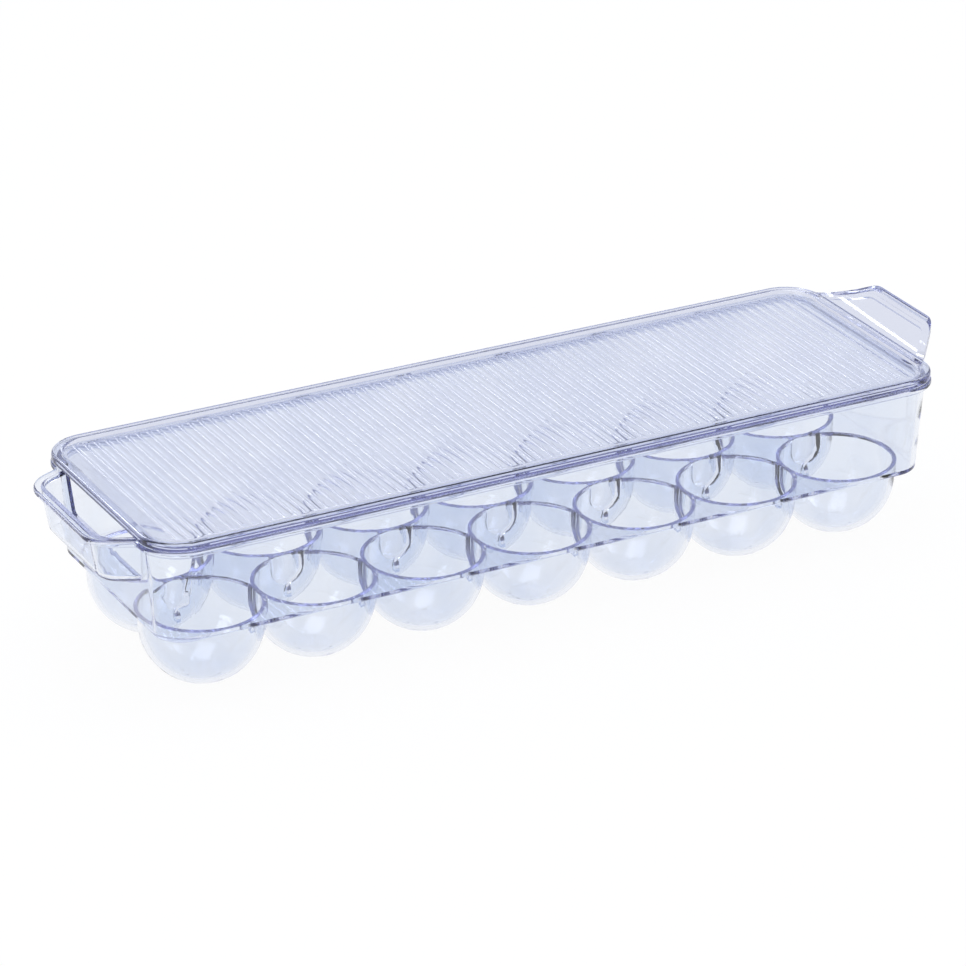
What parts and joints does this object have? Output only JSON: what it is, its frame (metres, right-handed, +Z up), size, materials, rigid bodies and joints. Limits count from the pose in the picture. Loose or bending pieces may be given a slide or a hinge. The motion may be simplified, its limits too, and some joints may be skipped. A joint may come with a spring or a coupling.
{
  "type": "covered egg tray",
  "caption": "Long clear fridge tray with ball-shaped egg cups in two rows, a deep flared basin, an end finger pull and a flat ribbed lift-off lid with a raised pull tab.",
  "frame": {"origin": "on the shelf, under the middle of the part's overall box, finger pull and lid tab included", "axes": "+X along the length towards the lid's pull tab, the tray's finger pull at -X; +Z up"},
  "size_m": [0.3752, 0.1114, 0.08],
  "materials": {
    "tray_plastic": "clear gloss, faint blue-violet tint",
    "lid_plastic": "clear gloss with a finely ribbed panel, faint blue-violet tint"
  },
  "bodies": {
    "tray": {"tray": "tray_plastic"},
    "lid": {"lid": "lid_plastic"}
  },
  "joints": [
    {"name": "lid_lift", "type": "slide", "parent": "tray", "child": "lid", "axis": [0, 0, 1], "range_m": [0, 0.07]}
  ]
}
